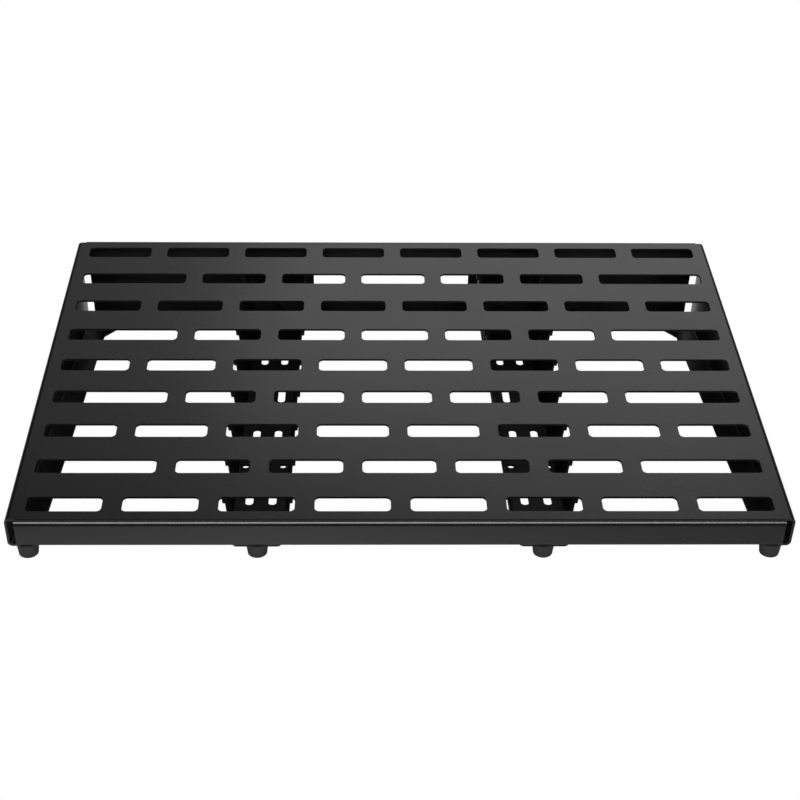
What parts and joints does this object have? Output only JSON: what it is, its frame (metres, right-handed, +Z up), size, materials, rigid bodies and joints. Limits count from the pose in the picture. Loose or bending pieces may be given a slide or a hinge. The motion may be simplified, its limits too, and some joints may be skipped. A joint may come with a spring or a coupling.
{
  "type": "pedalboard",
  "caption": "Slanted folded sheet-metal pedalboard with staggered rows of slots in its top, two channel rails underneath and rubber feet.",
  "frame": {"origin": "on the floor, under the middle of the overall box", "axes": "+X to the player's right, along the width; +Y away from the player, up the slope; +Z up"},
  "size_m": [0.618, 0.4234, 0.101],
  "materials": {
    "deck_coat": "satin black powder coat on aluminium sheet",
    "rail_coat": "satin black powder coat on aluminium sheet",
    "foot_rubber": "matte black rubber",
    "screw_steel": "black zinc plate",
    "washer_steel": "bright zinc plate",
    "nut_steel": "bright zinc plate"
  },
  "bodies": {
    "root": {"deck": "deck_coat", "rail_left": "rail_coat", "rail_right": "rail_coat", "foot_front_left_corner": "foot_rubber", "screw_front_left_corner": "screw_steel", "washer_front_left_corner": "washer_steel", "nut_front_left_corner": "nut_steel", "foot_front_left_rail": "foot_rubber", "screw_front_left_rail": "screw_steel", "washer_front_left_rail": "washer_steel", "nut_front_left_rail": "nut_steel", "foot_front_right_rail": "foot_rubber", "screw_front_right_rail": "screw_steel", "washer_front_right_rail": "washer_steel", "nut_front_right_rail": "nut_steel", "foot_front_right_corner": "foot_rubber", "screw_front_right_corner": "screw_steel", "washer_front_right_corner": "washer_steel", "nut_front_right_corner": "nut_steel", "foot_rear_left_corner": "foot_rubber", "screw_rear_left_corner": "screw_steel", "washer_rear_left_corner": "washer_steel", "nut_rear_left_corner": "nut_steel", "foot_rear_left_rail": "foot_rubber", "screw_rear_left_rail": "screw_steel", "washer_rear_left_rail": "washer_steel", "nut_rear_left_rail": "nut_steel", "foot_rear_right_rail": "foot_rubber", "screw_rear_right_rail": "screw_steel", "washer_rear_right_rail": "washer_steel", "nut_rear_right_rail": "nut_steel", "foot_rear_right_corner": "foot_rubber", "screw_rear_right_corner": "screw_steel", "washer_rear_right_corner": "washer_steel", "nut_rear_right_corner": "nut_steel"}
  },
  "joints": []
}
